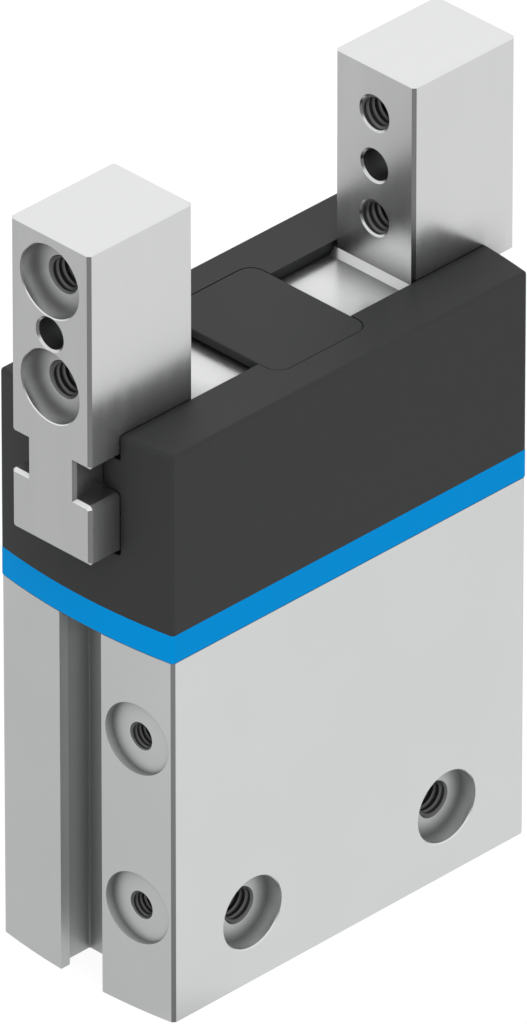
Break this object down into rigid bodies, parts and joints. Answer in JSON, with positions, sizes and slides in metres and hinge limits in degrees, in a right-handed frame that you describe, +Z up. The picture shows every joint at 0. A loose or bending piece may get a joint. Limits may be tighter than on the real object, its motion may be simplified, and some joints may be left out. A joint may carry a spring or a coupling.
{
  "type": "parallel gripper",
  "caption": "Pneumatic parallel gripper: aluminium cylinder block, black cap over a T guide, and steel jaws driven together by bell cranks.",
  "frame": {"origin": "middle of the housing's bottom face", "axes": "+X along the jaws' travel, away from the air ports; -Y out of the front face; +Z up to the jaws"},
  "size_m": [0.0518, 0.021, 0.0771],
  "materials": {
    "anodised_aluminium": "fine blasted, clear anodised",
    "blue_band": "smooth",
    "black_cap": "fine matt grain",
    "ground_steel": "ground, bright",
    "hardened_steel": "hardened, ground",
    "hard_chrome": "polished",
    "turned_aluminium": "turned",
    "black_rubber": "moulded",
    "sintered_magnet": "sintered",
    "guide_plastic": "filled PTFE",
    "sintered_bronze": "sintered, oiled",
    "spring_steel": "phosphated"
  },
  "bodies": {
    "base": {"housing": "anodised_aluminium", "colour_band": "blue_band", "cover_cap": "black_cap", "cover_plate": "black_cap", "lever_pins": "ground_steel", "rod_bush": "sintered_bronze", "rod_seal": "black_rubber", "upper_bumper": "black_rubber", "lower_bumper": "black_rubber", "end_cap": "turned_aluminium", "end_cap_o_ring": "black_rubber", "retaining_ring": "spring_steel"},
    "jaw_left": {"jaw_left": "ground_steel"},
    "jaw_right": {"jaw_right": "ground_steel"},
    "crank_left": {"lever_left": "hardened_steel"},
    "crank_right": {"lever_right": "hardened_steel"},
    "drive": {"piston_rod": "hard_chrome", "rod_head": "hardened_steel", "piston": "turned_aluminium", "piston_seal": "black_rubber", "piston_magnet": "sintered_magnet", "piston_guide_ring": "guide_plastic", "piston_nut": "hardened_steel"}
  },
  "joints": [
    {"name": "jaw_left_slide", "type": "slide", "parent": "base", "child": "jaw_left", "axis": [1, 0, 0], "range_m": [0, 0.005]},
    {"name": "jaw_right_slide", "type": "slide", "parent": "base", "child": "jaw_right", "axis": [-1, 0, 0], "range_m": [0, 0.005]},
    {"name": "crank_left_turn", "type": "hinge", "parent": "base", "child": "crank_left", "pos_m": [-0.011, 0, 0.0402], "axis": [0, 1, 0], "range_deg": [0, 39.49]},
    {"name": "crank_right_turn", "type": "hinge", "parent": "base", "child": "crank_right", "pos_m": [0.011, 0, 0.0402], "axis": [0, -1, 0], "range_deg": [0, 39.49]},
    {"name": "piston_slide", "type": "slide", "parent": "base", "child": "drive", "axis": [0, 0, -1], "range_m": [0, 0.00439]}
  ],
  "couplings": [
    {"joint": "jaw_right_slide", "follows": "jaw_left_slide", "ratio": 1},
    {"joint": "crank_left_turn", "follows": "jaw_left_slide", "rad_per_m": 137.85},
    {"joint": "crank_right_turn", "follows": "jaw_left_slide", "rad_per_m": 137.85},
    {"joint": "piston_slide", "follows": "jaw_left_slide", "ratio": 0.87838}
  ]
}
